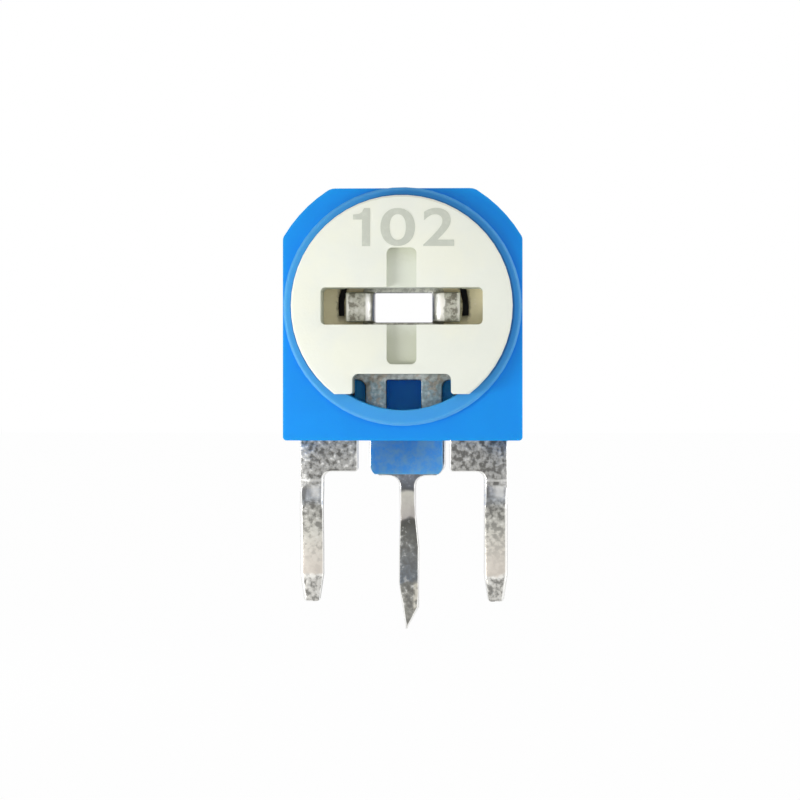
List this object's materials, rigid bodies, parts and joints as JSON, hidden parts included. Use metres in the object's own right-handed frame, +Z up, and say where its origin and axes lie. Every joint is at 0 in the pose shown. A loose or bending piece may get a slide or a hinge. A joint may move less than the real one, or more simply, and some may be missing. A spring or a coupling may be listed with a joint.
{
  "type": "trimmer potentiometer",
  "caption": "Upright single-turn trimmer: a square housing with a raised round mouth, a slotted front rotor with an inspection notch, and flat solder pins in a triangle.",
  "frame": {"origin": "on the circuit board's top face, midway between the two outer pins", "axes": "+X to the right as seen from the adjusting side, +Z up away from the board, and the rotor faces -Y"},
  "size_m": [0.0064, 0.0044, 0.0122],
  "materials": {
    "blue_plastic": "satin moulded plastic",
    "white_plastic": "satin moulded plastic",
    "spring_metal": "dull spring alloy",
    "tinned_metal": "tinned, mottled",
    "phenolic_board": "paper laminate",
    "carbon_film": "printed carbon",
    "silver_print": "printed silver"
  },
  "bodies": {
    "base": {"housing": "blue_plastic", "centre_terminal": "tinned_metal", "left_terminal": "tinned_metal", "right_terminal": "tinned_metal", "element_board": "phenolic_board", "carbon_track": "carbon_film", "left_electrode": "silver_print", "right_electrode": "silver_print"},
    "rotor": {"rotor_cap": "white_plastic", "wiper_spring": "spring_metal"}
  },
  "joints": [
    {"name": "rotor_turn", "type": "hinge", "parent": "base", "child": "rotor", "pos_m": [0, 0, 0.00464], "axis": [0, 1, 0], "range_deg": [-105, 105]}
  ]
}
